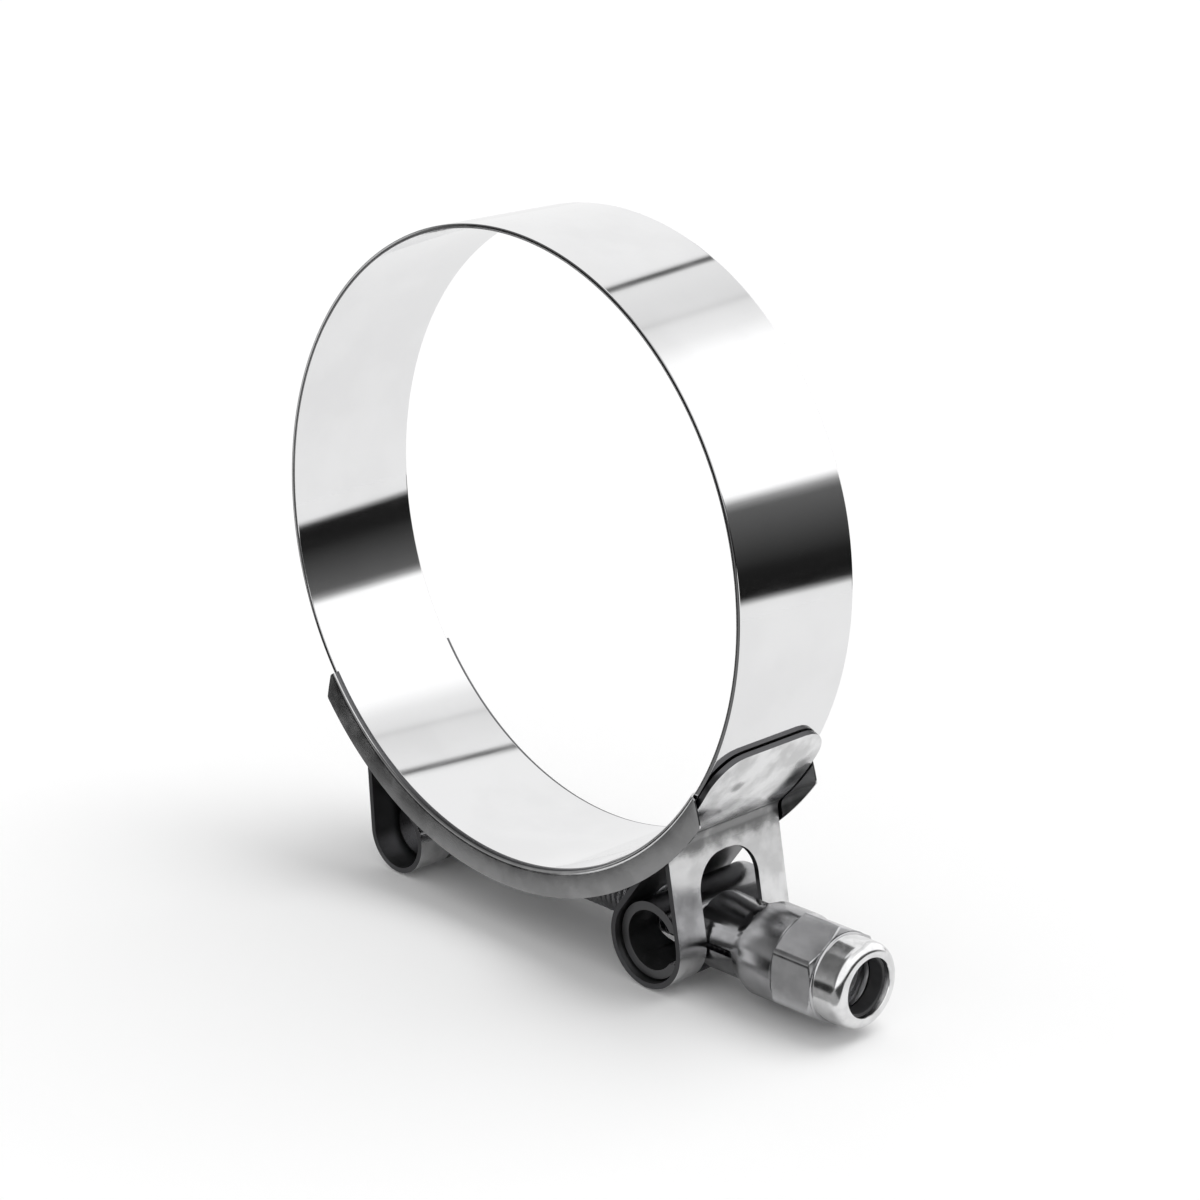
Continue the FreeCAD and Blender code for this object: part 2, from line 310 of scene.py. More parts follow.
def loop_path(eye, eye_radius, crease_angle, leaf_angle, slip, sheet=loop_sheet, crease_bend=1.6):
    """Middle line of a loop on the nut side: down the leaf, out at the crease, round the eye, back.

    The run to the eye is the inner tangent of the crease's circle and the eye's circle, and the run
    back is a tangent from the crease to the eye.
    """
    leaf_radius = ring_radius + slip + sheet / 2
    wrap = eye_radius + sheet / 2
    crease_radius = crease_bend + sheet / 2
    bend_centre = side_point(leaf_radius + crease_radius, crease_angle)
    across = eye - bend_centre
    lean = np.degrees(np.arcsin((crease_radius + wrap) / np.hypot(*across)))
    heading = np.degrees(np.arctan2(across[1], across[0])) + lean
    crease = side_point(leaf_radius, crease_angle)
    back = crease - eye
    back_lean = np.degrees(np.arcsin(wrap / np.hypot(*back)))
    back_heading = np.degrees(np.arctan2(back[1], back[0])) - back_lean
    on_angle = heading + 90
    off_angle = back_heading + 90
    off_angle -= 360 * np.ceil((off_angle - on_angle) / 360)
    bend_start = crease_angle - 180
    bend_end = heading - 90
    bend_end += 360 * np.ceil((bend_start - bend_end) / 360)
    run_start = bend_centre + side_point(crease_radius, heading - 90)
    stretches = [
        arc((0, 0), leaf_radius, leaf_angle, crease_angle, leaf_steps),
        arc(bend_centre, crease_radius, bend_start, bend_end, crease_steps)[1:],
        np.linspace(run_start, eye + side_point(wrap, on_angle), run_steps)[1:],
        arc(eye, wrap, on_angle, off_angle, eye_steps)[1:],
        np.linspace(eye + side_point(wrap, off_angle), crease, back_steps)[1:],
    ]
    return np.concatenate(stretches)


def window(z, foot, top, half, corner):
    """Half the width of a slot at height z: full between its foot and its rounded top, else none."""
    rise = np.clip(z - (top - corner), 0, corner)
    width = half - corner + np.sqrt(corner**2 - rise**2)
    return np.where((z > foot) & (z < top), width, 0.0)


def folded_strip(name, path, inner_half, sheet=loop_sheet, leaf_corner=4.5, columns=9):
    """A strip along a path: y runs from the slot's half-width to the strip's, on both sides.

    The strip's half-width is rounded in at the start: w - c + sqrt(c^2 - (c - run)^2), up to run = c.
    """
    step = np.hypot(*np.diff(path, axis=0).T)
    run = np.concatenate([[0], np.cumsum(step)])
    near_end = np.clip(leaf_corner - run, 0, leaf_corner)
    outer_half = half_width - leaf_corner + np.sqrt(leaf_corner**2 - near_end**2)
    share = np.linspace(0, 1, columns)
    y = inner_half[:, None] + (outer_half - inner_half)[:, None] * share
    halves = []
    faces = []
    for side in (-1, 1):
        x = np.repeat(path[:, :1], len(share), 1)
        z = np.repeat(path[:, 1:], len(share), 1)
        halves.append(np.stack([x, side * y, z], -1).reshape(-1, 3))
        quads = grid_quads(*y.shape) + (0 if side < 0 else y.size)
        faces += (quads if side < 0 else quads[:, ::-1]).tolist()
    piece = make_piece(name, np.concatenate(halves), faces)
    leaf = piece.data.polygons[0]
    if leaf.normal.dot(leaf.center) < 0:
        piece.data.flip_normals()
    wall = piece.modifiers.new("sheet", "SOLIDIFY")
    wall.thickness = sheet * mm
    wall.offset = 0
    # The inner side of the sheet takes the second finish, a dark steel: painted shade.
    wall.material_offset = 1
    # The rim takes the third finish, a near black steel: painted shade.
    wall.material_offset_rim = 2
    ease_edges(piece, 0.09)
    return piece


# %% The loop round the trunnion
nut_eye_radius = 5.15
nut_crease_angle, nut_leaf_angle = 316.5, 336.3
nut_slip = 0.2
nut_slot_foot_angle = 58
arch_top, arch_half, arch_corner = 10.6, 5.0, 4.4
shank_slot_top, shank_slot_half, shank_slot_corner = 5.3, 4.1, 3.0

nut_outside = nut_eye_radius + loop_sheet
path = loop_path(nut_eye, nut_eye_radius, nut_crease_angle, nut_leaf_angle, nut_slip)
slot_foot = nut_eye[1] - nut_outside * np.sin(np.radians(nut_slot_foot_angle))
arch = window(path[:, 1], slot_foot, nut_eye[1] + arch_top, arch_half, arch_corner)
inside = window(path[:, 1], slot_foot, nut_eye[1] + shank_slot_top, shank_slot_half, shank_slot_corner)
opened = np.where(path[:, 0] > nut_eye[0], arch, inside)
nut_loop = folded_strip("loop_round_the_trunnion", path, opened)
place(nut_loop, "nut_side_end", "nut_loop", "nut_loop")

# %% [markdown]
# The other loop is drawn the same way with its angles mirrored, and then x changes sign. An angle
# seen from the other side is 180 degrees less the angle, and a full turn on top keeps it positive. Its
# slot is on the side that the shank leaves by, which faces the nut.

# %% The loop round the bolt's head
head_eye_radius = 4.3
head_crease_angle, head_leaf_angle = 229.5, 217.5
head_slot_foot_angle = 62
other_side = 180 + 360
mirror = np.array([-1, 1])

head_outside = head_eye_radius + loop_sheet
crease_seen, leaf_seen = other_side - head_crease_angle, other_side - head_leaf_angle
path = mirror * loop_path(head_eye * mirror, head_eye_radius, crease_seen, leaf_seen, slip=0.0)
slot_foot = head_eye[1] - head_outside * np.sin(np.radians(head_slot_foot_angle))
shank_slot = window(
    path[:, 1], slot_foot, head_eye[1] + shank_slot_top, shank_slot_half, shank_slot_corner
)
opened = np.where(path[:, 0] > head_eye[0], shank_slot, 0.0)
head_loop = folded_strip("loop_round_the_head", path, opened)
place(head_loop, "clamp_band", "t_head_loop", "t_head_loop")

# %% [markdown]
# ## The bolt
# The bolt is forged with a crosswise round head, and its thread is rolled. A picture of a thread would
# look flat on a silhouette, so the thread is real: the radius is a function of the distance along the
# bolt less one pitch for each turn, which is a helix.

# %% The threaded bolt
end_in_nut = 6.6
bolt_length = eye_distance + trunnion_reach + end_in_nut
shank_radius = 2.85
pitch = 25.4 / 28
thread_depth = 0.49
thread_start = 13.0
flank, crest_share = 3.2, 0.3
end_chamfer = 0.8


def thread_radius(x, turn):
    """Crest radius less a trapezium wave of x - pitch * turn, faded out at both ends of the thread."""
    phase = (x / pitch - turn / (2 * np.pi)) % 1.0
    wave = np.clip(np.abs(phase - 0.5) * flank - crest_share, 0, 1)
    fade = np.clip((x - thread_start) / pitch, 0, 1)
    crest = shank_radius + (bolt_radius - shank_radius) * fade
    end = bolt_length - end_chamfer
    return crest - thread_depth * wave * fade - np.clip(x - end, 0, end_chamfer)


shank_from, plain_rows, rows_per_turn, around_shank = 2.0, 24, 12, 48
plain_x = np.linspace(shank_from, thread_start, plain_rows)[:-1]
thread_x = np.arange(thread_start, bolt_length, pitch / rows_per_turn)
x_rows = np.concatenate([plain_x, thread_x, [bolt_length]])
turns = np.linspace(0, 2 * np.pi, around_shank, endpoint=False)
x_grid, turn_grid = np.meshgrid(x_rows, turns, indexing="ij")

# The shank swells towards the head as the square of the way left, but stays inside the eye's circle.
swell, swell_end, swell_run, eye_room = 1.1, 4.6, 2.0, 4.1
neck = swell * np.clip((swell_end - x_grid) / swell_run, 0, 1) ** 2
room_in_eye = np.sqrt(np.clip(eye_room**2 - x_grid**2, shank_radius**2, None)) - shank_radius
neck = np.minimum(neck, room_in_eye)
radius = thread_radius(x_grid, turn_grid) + neck
shank = np.stack([x_grid, radius * np.sin(turn_grid), radius * np.cos(turn_grid)], -1)
shank_faces = grid_quads(len(x_rows), len(turns), wrap_columns=True).tolist()
shank_faces += [list(range(around_shank)), list(range(x_grid.size - around_shank, x_grid.size))]

# %% [markdown]
# The head is a short round bar across the bolt. It is turned about X like the other round forms, and
# then its x and y change places. It is one mesh with the shank, because they are forged as one.

# %% The crosswise head
head_radius, head_half, head_ease, ease_steps = 4.0, 6.0, 0.7, 7
pole, around_head = 0.02, 72
ease = arc((head_half - head_ease, head_radius - head_ease), head_ease, 0, 90, ease_steps)
head_x = np.concatenate([[head_half], ease[:, 0], -ease[::-1, 0], [-head_half]])
head_r = np.concatenate([[pole], ease[:, 1], ease[::-1, 1], [pole]])
head = turned_points(head_x, head_r, around_head)[..., [1, 0, 2]]
head_faces = (grid_quads(len(head_x), around_head, wrap_columns=True) + x_grid.size).tolist()
points = np.concatenate([shank.reshape(-1, 3), head.reshape(-1, 3)])
bolt = make_piece("threaded_bolt", along_bolt(points), shank_faces + head_faces, smooth_angle=60.0)
sawn_from = along_bolt([bolt_length - end_chamfer, 0, 0])
second_finish(bolt, lambda centre, normal: (centre - sawn_from) @ along_bolt([1, 0, 0], (0, 0)) > 0)
place(bolt, "bolt_body", "t_bolt", "t_bolt")

# %% [markdown]
# ## The lock nut and its ring
# The hexagon's radius at an angle is the distance to its flat, which a slanting cone cuts at both
# ends: the smaller of the two is the eased corner that every turned nut has. The collar above it is
# closed over the locking ring.

# %% The lock nut
flats = 5.55
hex_height, nut_height = 6.2, 10.4
corner_ease, cone_inset, cone_slope = 0.1, 0.15, 2.0
cone_run, cone_rows = 0.7, 12
around = 144
turn = np.linspace(0, 360, around, endpoint=False)
to_flat = flats / np.cos(np.radians((turn % 60) - 30))
to_flat = np.minimum(to_flat, flats / np.cos(np.radians(30)) - corner_ease)
cone_x = np.linspace(0, cone_run, cone_rows)
hex_x = np.concatenate([cone_x, [hex_height / 2], hex_height - cone_x[::-1]])
cone = flats - cone_inset + cone_slope * np.minimum(hex_x, hex_height - hex_x)
hex_r = np.minimum(to_flat[None, :], cone[:, None])

# The collar's profile: a hollow foot, a dome, a rolled lip, then the ring's seat and the bore inside.
collar, mouth, seat, bore, bore_mouth = 5.3, 3.65, 4.55, 3.4, 3.7
foot_bend, dome_bend, lip_bend = 0.35, 1.3, 0.15
seat_from, seat_to, bore_ease = 7.3, 9.6, 0.3
dome = arc((nut_height - dome_bend, collar - dome_bend), dome_bend, 90, 0, 9)
lip = arc((nut_height - lip_bend, mouth + lip_bend), lip_bend, 0, -180, 5)
base = arc((hex_height + foot_bend, collar + foot_bend), foot_bend, 180, 270, 6)
within_x = [seat_to, seat_to, seat_from, seat_from, bore_ease, 0.0]
within_r = [mouth, seat, seat, bore, bore, bore_mouth]
round_x = np.concatenate([base[:, 0], dome[:, 0], lip[1:, 0], within_x])
round_r = np.concatenate([base[:, 1], dome[:, 1], lip[1:, 1], within_r])
nut_x = np.concatenate([hex_x, round_x])
nut_r = np.concatenate([hex_r, np.repeat(round_r[:, None], around, 1)])
turn_rad = np.radians(turn)
nut_points = np.stack([
    np.repeat(nut_x[:, None] + trunnion_reach, around, 1),
    nut_r * np.sin(turn_rad),
    nut_r * np.cos(turn_rad),
], -1)
nut_faces = grid_quads(len(nut_x), around, wrap_rows=True, wrap_columns=True).tolist()
nut = make_piece("lock_nut_shell", along_bolt(nut_points, nut_eye), nut_faces, smooth_angle=28.0)
collar_from = trunnion_reach + hex_height + 0.2
# The collar takes the second finish, a bright steel: painted highlight.
second_finish(nut, lambda centre, normal: past_eye(centre, nut_eye) > collar_from)
place(nut, "nut_body", "lock_nut", "lock_nut")

# %% The locking ring
ring_bore, ring_half, ring_corner, around_ring = 3.375, 1.1, 0.25, 96
ring_outline = rounded_outline(ring_bore, seat, ring_half, ring_corner)
ring_x = ring_outline[:, 1] + trunnion_reach + seat_to - ring_half
ring_points = turned_points(ring_x, ring_outline[:, 0], around_ring)
ring_faces = grid_quads(len(ring_x), around_ring, wrap_rows=True, wrap_columns=True).tolist()
locking_ring = make_piece("locking_ring", along_bolt(ring_points, nut_eye), ring_faces)
place(locking_ring, "nut_body", "nylon_insert", "nylon_insert")

# %% [markdown]
# ## The trunnion
# The trunnion is rolled from sheet: a barrel with an open seam, whose two lips run on as a neck and a
# bell. The solid already has that form. A copy of it is welded into one surface, its flat facets are
# joined, and a small bevel eases the cut edges.

# %% The rolled trunnion
trunnion = bpy.data.objects.new("rolled_trunnion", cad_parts["trunnion"].data.copy())
bpy.context.scene.collection.objects.link(trunnion)
weld = bmesh.new()
weld.from_mesh(trunnion.data)
bmesh.ops.remove_doubles(weld, verts=weld.verts, dist=0.01 * mm)
bmesh.ops.dissolve_limit(weld, angle_limit=np.radians(0.5), verts=weld.verts, edges=weld.edges)
weld.to_mesh(trunnion.data)
weld.free()
trunnion.data.shade_smooth()
trunnion.data.set_sharp_from_angle(angle=np.radians(35))
ease_edges(trunnion, 0.14)


# The bell's lip takes a bright steel as a painted highlight, and the barrel's inside a dark one as
# painted shade.
def trunnion_finish(centre, normal):
    """1 inside the barrel, 2 on the lip of the bell, else 0."""
    from_middle = np.hypot(centre[:, 0] - nut_eye[0], centre[:, 2] - nut_eye[1])
    inside = (from_middle < barrel_inside) & (np.abs(centre[:, 1]) < barrel_half)
    return inside + 2 * (past_eye(centre, nut_eye) > trunnion_reach - bell_lip)


barrel_inside, barrel_half, bell_lip = 3.85, 8.7, 1.0
second_finish(trunnion, trunnion_finish)
place(trunnion, "trunnion_body", "trunnion", "trunnion")

# %% [markdown]
# ## Finishes
# A finish is a small network of nodes. Two classes let it be written as Python: a Wire is a socket
# that takes part in sums, and a Finish adds any node by its type, its settings and its sockets.


# %% Node expressions
class Wire:
    """A node's output in an expression on values: each operator adds one Math node."""

    def __init__(self, finish, socket):
        self.finish = finish
        self.socket = socket

    def math(self, operation, *values):
        return self.finish.node("ShaderNodeMath", {"operation": operation}, dict(enumerate(values)))

    def __add__(self, other):
        return self.math("ADD", self, other)

    def __sub__(self, other):
        return self.math("SUBTRACT", self, other)

    def __rsub__(self, other):
        return self.math("SUBTRACT", other, self)

    def __mul__(self, other):
        return self.math("MULTIPLY", self, other)

    def __truediv__(self, other):
        return self.math("DIVIDE", self, other)

    def between(self, low, high):
        """0 below low, 1 above high, and a smooth step between."""
        settings = {"interpolation_type": "SMOOTHSTEP", "clamp": True}
        sockets = {0: self, 1: low, 2: high, 3: 0.0, 4: 1.0}
        return self.finish.node("ShaderNodeMapRange", settings, sockets)

    __radd__ = __add__
    __rmul__ = __mul__


class Finish:
    """A material or a world being made."""

    def __init__(self, owner):
        owner.use_nodes = True
        self.owner = owner
        self.tree = owner.node_tree
        self.tree.nodes.clear()

    def node(self, kind, settings=None, sockets=None, output=0):
        """Adds a node: its settings first, then values or wires for its sockets."""
        made = self.tree.nodes.new(kind)
        for name, value in (settings or {}).items():
            if name == "stops":
                self.set_stops(made.color_ramp, value)
            else:
                setattr(made, name, value)
        for name, value in (sockets or {}).items():
            if isinstance(value, Wire):
                self.tree.links.new(value.socket, made.inputs[name])
            else:
                made.inputs[name].default_value = value
        return Wire(self, made.outputs[output]) if made.outputs else None

    @staticmethod
    def set_stops(ramp, stops):
        """Gives a ramp its greys, from pairs of a position and a grey."""
        while len(ramp.elements) < len(stops):
            ramp.elements.new(0.5)
        for element, (position, grey) in zip(ramp.elements, stops):
            element.position = position
            element.color = (grey, grey, grey, 1.0)

    def place_in_piece(self):
        """The place of a point in the piece, in the shared frame."""
        return self.node("ShaderNodeTexCoord", output="Object")

    def noise(self, place, scale, detail=3.0, stretch=(1.0, 1.0, 1.0)):
        """Soft random values, drawn out along an axis by a small stretch."""
        grain = self.node("ShaderNodeMapping", None, {"Vector": place, "Scale": stretch})
        return self.node("ShaderNodeTexNoise", None, {"Vector": grain, "Scale": scale, "Detail": detail})

    def blend_colour(self, share, dark, light):
        """A colour between two, by a share."""
        sides = [side if isinstance(side, Wire) else (*side, 1.0) for side in (dark, light)]
        sockets = {0: share, 6: sides[0], 7: sides[1]}
        return self.node("ShaderNodeMix", {"data_type": "RGBA"}, sockets, output=2)


# %% [markdown]
# ### Rolled and polished steel
# Polished strip is nearly a mirror. What tells it from chrome is fine rolling grain along its length
# and soft mottling. On the band both are a few percent of roughness. The folded loops, the bolt and the
# nut are mottled more, in tone as well. The rims, cut edges and bends are darkened and the inside of a
# fold is dark, as painted shade; the bell's lip and the nut's collar are brightened as a painted
# highlight; the sawn end is a steel of its own. One function makes them all from a few numbers.


# %% A function that makes each steel
clear_from, clear_to = 0.36, 0.64
weld_core, weld_rough, weld_dip, weld_tone, weld_ragged = 0.3, 0.2, 2.0, 0.5, 1.6
# The crease's tone darkens the crease: painted shade.
crease_core, crease_reach, crease_rough, crease_painted_shade, crease_ragged = 0.6, 2.6, 0.15, 0.3, 4


def steel(name, colour, roughness, grain=0.03, stretch=(1.0, 0.12, 1.0), grain_scale=900.0, bump=0.02,
          cloud=0.07, cloud_scale=90.0, weld_at=(), crease_shade_at=None):
    """Metal whose roughness is a base value plus grain and clouds.

    A weld is a dull, dark dip that fades with the distance from its centre, and a crease is a rougher
    stripe, darkened as painted shade, that fades with the distance from a line along Y. Noise makes both
    ragged.
    """
    finish = Finish(bpy.data.materials.new(name))
    place = finish.place_in_piece()
    fine = finish.noise(place, grain_scale, 4.0, stretch)
    patches = finish.noise(place, cloud_scale, 4.0)
    rough = (fine - 0.5) * (2 * grain) + (patches - 0.5) * cloud + roughness
    shade = patches.between(clear_from, clear_to)
    height = fine
    tint = finish.blend_colour(shade, tuple((1 - cloud) * c for c in colour), colour)
    for centre, radius in weld_at:
        offset = finish.node("ShaderNodeVectorMath", {"operation": "DISTANCE"},
                             {0: place, 1: tuple(c * mm for c in centre)}, output="Value")
        ragged = offset + (patches - 0.5) * (weld_ragged * mm)
        mark = 1 - ragged.between(radius * weld_core * mm, radius * mm)
        rough = rough + mark * weld_rough
        height = height - mark * weld_dip
        tint = finish.blend_colour(mark, tint, tuple(weld_tone * c for c in colour))
    if crease_shade_at is not None:
        side_view = finish.node("ShaderNodeVectorMath", {"operation": "MULTIPLY"},
                                {0: place, 1: (1, 0, 1)})
        offset = finish.node("ShaderNodeVectorMath", {"operation": "DISTANCE"},
                             {0: side_view, 1: tuple(c * mm for c in crease_shade_at)}, output="Value")
        ragged = offset + (patches - 0.5) * (crease_ragged * mm)
        mark = 1 - ragged.between(crease_core * mm, crease_reach * mm)
        rough = rough + mark * crease_rough
        # Painted shade: the colour in the crease is darkened.
        tint = finish.blend_colour(mark, tint, tuple(crease_painted_shade * c for c in colour))
    dents = {"Height": height, "Strength": bump, "Distance": 0.05 * mm}
    normal = finish.node("ShaderNodeBump", None, dents)
    shader = finish.node("ShaderNodeBsdfPrincipled", None, {
        "Base Color": tint, "Metallic": 1.0, "Roughness": rough, "Normal": normal,
    })
    finish.node("ShaderNodeOutputMaterial", None, {"Surface": shader})
    return finish.owner


# %% [markdown]
# The leaf of the nut side loop is spot welded to the band, which leaves a dull, slightly sunk mark. The
# crease below the leaf is rougher and painted darker as shade. Both are places in the piece, worked out
# from the ring's angles, so they stay where they are when the loop moves.

# %% The steels of this clamp
leaf_outside = 40.9
weld_angle, weld_reach = 328.75, 1.5
crease_radius, crease_angle = 41.6, 315.6


def place_on_ring(radius, angle, y):
    """A point at a radius, an angle in degrees and a y, in millimetres."""
    return tuple(float(c) for c in in_ring(radius, np.array(angle), np.array(y)))


welds = [(place_on_ring(leaf_outside, weld_angle, y), weld_reach) for y in (-4.0, 7.3)]
crease = place_on_ring(crease_radius, crease_angle, 0.0)
even = (1.0, 1.0, 1.0)
strip_grey = (0.86, 0.86, 0.865)
folded = {"bump": 0.07, "cloud": 0.3, "cloud_scale": 300.0}
band_steel = steel("polished_strip", strip_grey, 0.06, cloud=0.04)
# The band's rims are darkened: painted shade.
painted_shade_rim = steel("painted_shade_rim", (0.42, 0.42, 0.425), 0.1)
# Near black steel on the loops' rims and the bridge's bends: painted shade.
painted_shade_edge = steel("sheared_edge_with_painted_shade", (0.13, 0.13, 0.135), 0.3, bump=0.1)
flange_steel = steel("turned_up_flange", (0.66, 0.66, 0.665), 0.14,
                     bump=0.05, cloud=0.2, cloud_scale=260.0)
loop_steel = steel("folded_strip", (0.84, 0.84, 0.845), 0.18, **folded)
# This strip also carries the painted shade of the crease.
welded_steel = steel("welded_folded_strip", (0.84, 0.84, 0.845), 0.18, **folded,
                     weld_at=welds, crease_shade_at=crease)
# A dark steel for the inside of the folds and of the barrel: painted shade.
inside_painted_shade = steel("inside_with_painted_shade", (0.2, 0.2, 0.205), 0.4, stretch=even, bump=0.1, cloud=0.2)
bolt_steel = steel("forged_bolt", (0.3, 0.3, 0.31), 0.26, stretch=even,
                   bump=0.1, cloud=0.2, cloud_scale=300.0)
sawn_steel = steel("sawn_end", (0.85, 0.85, 0.855), 0.4, stretch=even,
                   bump=0.4, cloud=0.3, cloud_scale=900.0)
trunnion_steel = steel("rolled_sheet", (0.43, 0.43, 0.44), 0.2, bump=0.08, cloud=0.2, cloud_scale=300.0)
nut_steel = steel("plated_nut", (0.58, 0.58, 0.59), 0.2, stretch=(0.2, 1.0, 1.0),
                  bump=0.08, cloud=0.15, cloud_scale=400.0)
# A bright steel on the bell's lip and the nut's collar: painted highlight.
collar_painted_highlight = steel("turned_collar_painted_highlight", strip_grey, 0.16, bump=0.1, cloud=0.15, cloud_scale=600.0)
print("the first weld mark lies at", [round(c, 1) for c in welds[0][0]])

# %% [markdown]
# ### Nylon
# The locking ring is dyed nylon. It is a plain plastic, slightly uneven and half matt, so a single
# noise is enough: it tints the plastic, roughens it and dents it a little.

# %% Nylon
nylon = Finish(bpy.data.materials.new("dyed_nylon"))
place_in_ring = nylon.place_in_piece()
cloud = nylon.noise(place_in_ring, 1400.0)
nylon_tint = nylon.blend_colour(cloud, (0.028, 0.028, 0.03), (0.05, 0.05, 0.053))
nylon_dents = {"Height": cloud, "Strength": 0.15, "Distance": 0.05 * mm}
nylon_bump = nylon.node("ShaderNodeBump", None, nylon_dents)
nylon_shader = nylon.node("ShaderNodeBsdfPrincipled", None, {
    "Base Color": nylon_tint, "Roughness": cloud * 0.2 + 0.35, "Normal": nylon_bump,
})
nylon.node("ShaderNodeOutputMaterial", None, {"Surface": nylon_shader})

# %% [markdown]
# ### Which face has which finish
# A face carries the number of its material. Emptying a piece's list of materials sets all these numbers
# back, so they are read first and written again afterwards.

# %% Give each piece its finish
for piece, *finishes in [
    (band, band_steel, painted_shade_rim),
    (bridge, band_steel, flange_steel, painted_shade_edge),
    (head_loop, loop_steel, inside_painted_shade, painted_shade_edge),
    (nut_loop, welded_steel, inside_painted_shade, painted_shade_edge),
    (bolt, bolt_steel, sawn_steel),
    (trunnion, trunnion_steel, inside_painted_shade, collar_painted_highlight),
    (nut, nut_steel, collar_painted_highlight),
    (locking_ring, nylon.owner),
]:
    given = np.zeros(len(piece.data.polygons), np.int32)
    piece.data.polygons.foreach_get("material_index", given)
    piece.data.materials.clear()
    for finish in finishes:
        piece.data.materials.append(finish)
    piece.data.polygons.foreach_set("material_index", given)

# %% [markdown]
# ## The studio
# The clamp stands on a white floor that runs out of view. Polished strip shows what stands round it:
# light grey where it shows the table, white where it shows the lamp above, and dark blocks where it
# shows the unlit room between. So there are two sheets. The floor is seen by the camera and hidden from
# reflections. The table is a small disc, cut off just in front of the clamp, that only metal sees.

# %% Table and floor
floor_reach, table_reach, table_front = 4.0, 0.2, -0.012
table_height = cad_box[0].z
above_floor = 0.02 * mm
sheet_rows, almost_whole = 120, 0.9999


def flat_sheet(name, reach, front, height):
    """A flat disc cut off at y = front: each row joins its two sides, x = +-sqrt(reach^2 - y^2)."""
    y = np.linspace(max(front, -reach * almost_whole), reach * almost_whole, sheet_rows)
    side = np.sqrt(reach**2 - y**2)
    x = side[:, None] * np.array([-1.0, 1.0])
    points = np.stack([x, np.repeat(y[:, None], 2, 1), np.full_like(x, height)], -1) / mm
    sheet = make_piece(name, points, grid_quads(sheet_rows, 2))
    if sheet.data.polygons[0].normal.z < 0:
        sheet.data.flip_normals()
    return sheet


def white_paper(name, grey):
    """A matt paper of one grey."""
    finish = Finish(bpy.data.materials.new(name))
    shader = finish.node("ShaderNodeBsdfDiffuse", None, {"Color": (grey, grey, grey, 1.0)})
    finish.node("ShaderNodeOutputMaterial", None, {"Surface": shader})
    return finish.owner


floor = flat_sheet("floor", floor_reach, -floor_reach, table_height)
floor.visible_glossy = False
floor.data.materials.append(white_paper("white_sweep", 0.98))
table_top = flat_sheet("table_top", table_reach, table_front, table_height + above_floor)
table_top.visible_camera = False
table_top.visible_diffuse = False
table_top.visible_shadow = False
table_top.data.materials.append(white_paper("white_table", 0.88))

# %% [markdown]
# The room round them is a function of the direction alone. Two ramps over the angle in the side view
# hold its greys, one for the room behind the clamp and one for the camera's side, and the Y part of a
# direction blends them. The edges of a near wall look slanted in the strip, so the angle leans, by an
# amount that changes where a direction points far back. A pale card stands low on the camera's side.
# Metal sees all this, the paper gets a plain soft light, and the camera sees white.

# %% The room, by direction
world = bpy.data.worlds.new("studio")
bpy.context.scene.world = world
room = Finish(world)
direction = room.node("ShaderNodeTexCoord", output="Generated")
split = room.node("ShaderNodeSeparateXYZ", None, {0: direction})
outputs = split.socket.node.outputs
dx, dy, dz = (Wire(room, outputs[axis]) for axis in "XYZ")
lean_from, least_depth = 0.7, -0.2
lean, lean_per_degree = 80, 2.7
angle = dz.math("ARCTAN2", dz, dx) * (180 / np.pi)
depth = dy.math("MAXIMUM", dy - lean_from, least_depth)
leaning = angle + (lean - angle * lean_per_degree) * depth


def stops_at(*stops):
    """Stops of a ramp from angles in the side view, counted in degrees from +X towards +Z."""
    return {"stops": [(degrees / 360 + 0.5, grey) for degrees, grey in stops]}


def by_angle(degrees, stops):
    """A grey for each angle in degrees, from a ramp that covers one whole turn."""
    return room.node("ShaderNodeValToRGB", stops, {"Fac": degrees / 360 + 0.5})


studio_side = by_angle(leaning, stops_at(
    (-180, 0.76), (-17.4, 0.76), (-16.6, 0.006), (-6, 0.012), (16, 0.1), (19, 0.35),
    (20.5, 1.0), (72, 1.0), (80, 0.8), (88, 0.72), (90, 0.6), (92, 0.68),
    (110.6, 0.76), (111.2, 0.03), (113.4, 0.03), (114.0, 0.8),
))
camera_side = by_angle(angle, stops_at(
    (-180, 0.02), (-154, 0.02), (-150, 0.3), (-30, 0.26), (-24, 0.03), (12, 0.03),
    (18, 1.0), (84, 1.0), (100, 0.12), (130, 0.12), (150, 0.22), (172, 0.35), (180, 0.02),
))
card_front = dy.between(-0.635, -0.61)
card_back = 1 - dy.between(-0.5, -0.45)
card_top = 1 - angle.between(-157.5, -156)
pale_card = card_front * card_back * card_top
lamp_strength = 1.22
paper_light, camera_extra = 0.66, 0.34
behind = dy.between(-0.25, 0.1)
camera_side = room.blend_colour(pale_card, camera_side, (0.95, 0.95, 0.95))
seen = room.blend_colour(behind, camera_side, studio_side)
light_path = room.node("ShaderNodeLightPath", output="Is Glossy Ray")
camera_ray = Wire(room, light_path.socket.node.outputs["Is Camera Ray"])
soft_light = paper_light + camera_ray * camera_extra
white = (1.0, 1.0, 1.0, 1.0)
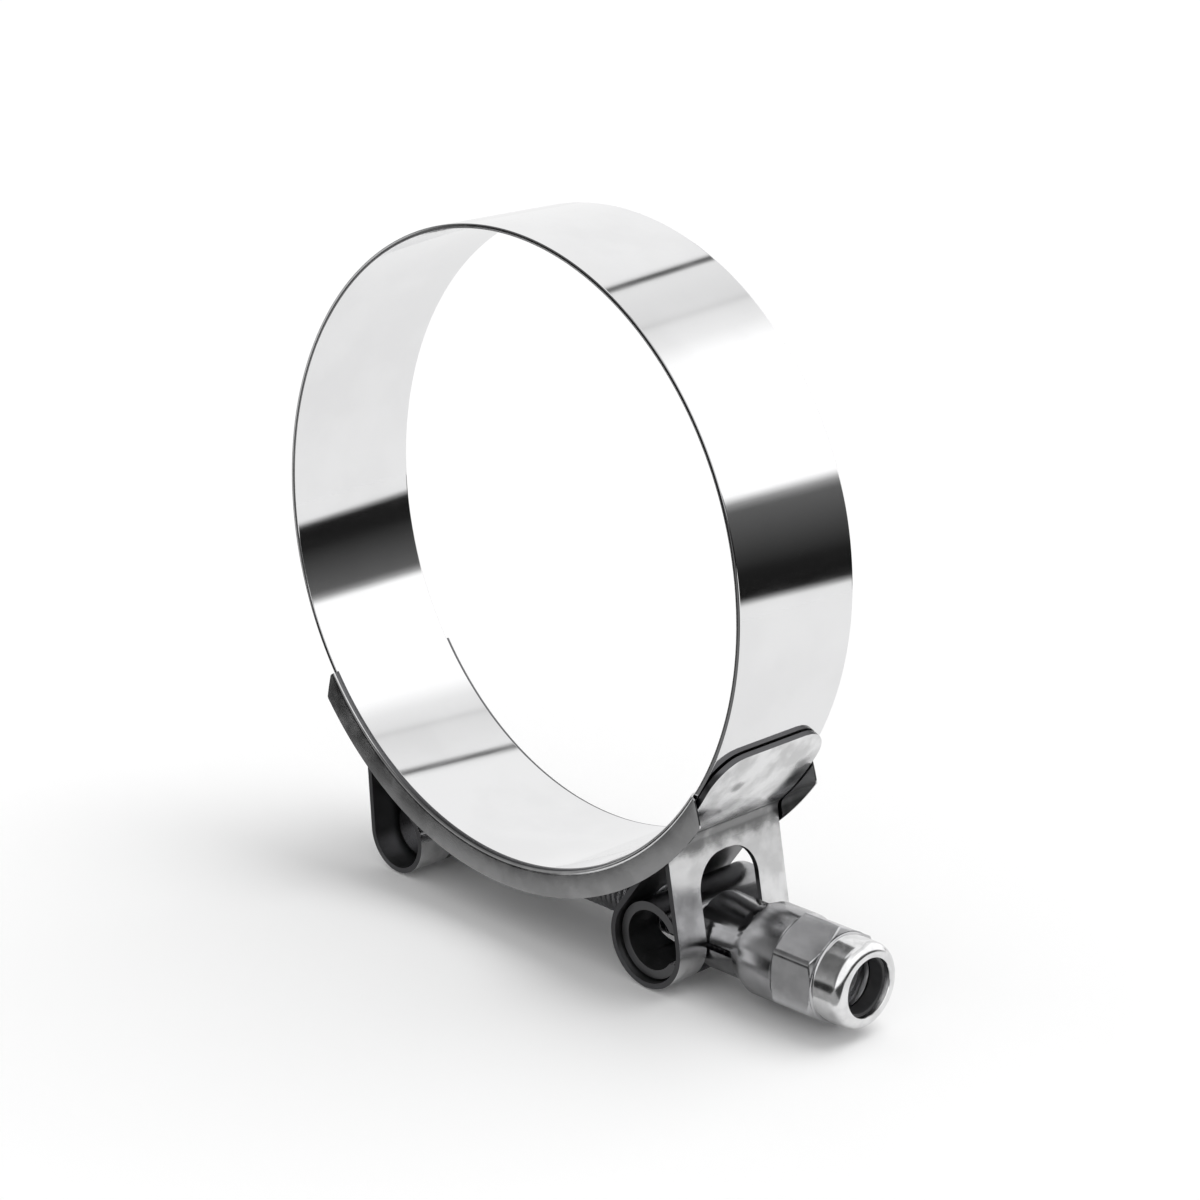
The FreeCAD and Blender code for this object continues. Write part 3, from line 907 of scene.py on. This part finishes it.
on_paper = room.node("ShaderNodeBackground", None, {"Color": white, "Strength": soft_light})
in_metal = room.node("ShaderNodeBackground", None, {"Color": seen, "Strength": lamp_strength})
mixed = room.node("ShaderNodeMixShader", None, {0: light_path, 1: on_paper, 2: in_metal})
room.node("ShaderNodeOutputWorld", None, {"Surface": mixed})

# %% [markdown]
# One soft lamp from above and behind gives the shadow under the bolt. It is a sun, so that the paper
# is equally bright everywhere, and metal does not see it, because the room already holds the lamp.

# %% The soft lamp
lamp_data = bpy.data.lights.new("soft_lamp", "SUN")
lamp_data.energy = 1.35
lamp_data.angle = np.radians(50)
lamp_lean, lamp_side = -24, 10
lamp = bpy.data.objects.new("soft_lamp", lamp_data)
bpy.context.scene.collection.objects.link(lamp)
lamp.rotation_euler = (np.radians(lamp_lean), np.radians(lamp_side), 0)
lamp.visible_glossy = False

# %% [markdown]
# ## The camera
# The view is from the nut's side and a little above, close enough for some perspective. The camera is
# given by its azimuth, its elevation and a small roll, and by the place of the ring's middle in view.

# %% The camera
azimuth, elevation, roll = np.radians([45.94, 18.92, 0.35])
distance = 355.5
aside, above = -5.43, 7.5
sensor, picture_width, focal_pixels = 36, 1200, 2900
focal = focal_pixels / picture_width * sensor

back = np.array([
    np.sin(azimuth) * np.cos(elevation), -np.cos(azimuth) * np.cos(elevation), np.sin(elevation),
])
level = np.array([np.cos(azimuth), np.sin(azimuth), 0])
upright = np.cross(back, level)
right = np.cos(roll) * level + np.sin(roll) * upright
up = np.cos(roll) * upright - np.sin(roll) * level
eye_point = (back * distance - right * aside - up * above) * mm
camera_data = bpy.data.cameras.new("camera")
camera_data.lens = focal
camera_data.sensor_width = sensor
camera_data.clip_start = 0.01
camera = bpy.data.objects.new("camera", camera_data)
bpy.context.scene.collection.objects.link(camera)
camera.matrix_world = Matrix(np.column_stack([right, up, back, eye_point]).tolist() + [[0, 0, 0, 1]])
bpy.context.scene.camera = camera
bpy.context.scene.view_settings.view_transform = "Standard"
print("the camera stands at", eye_point.round(3))
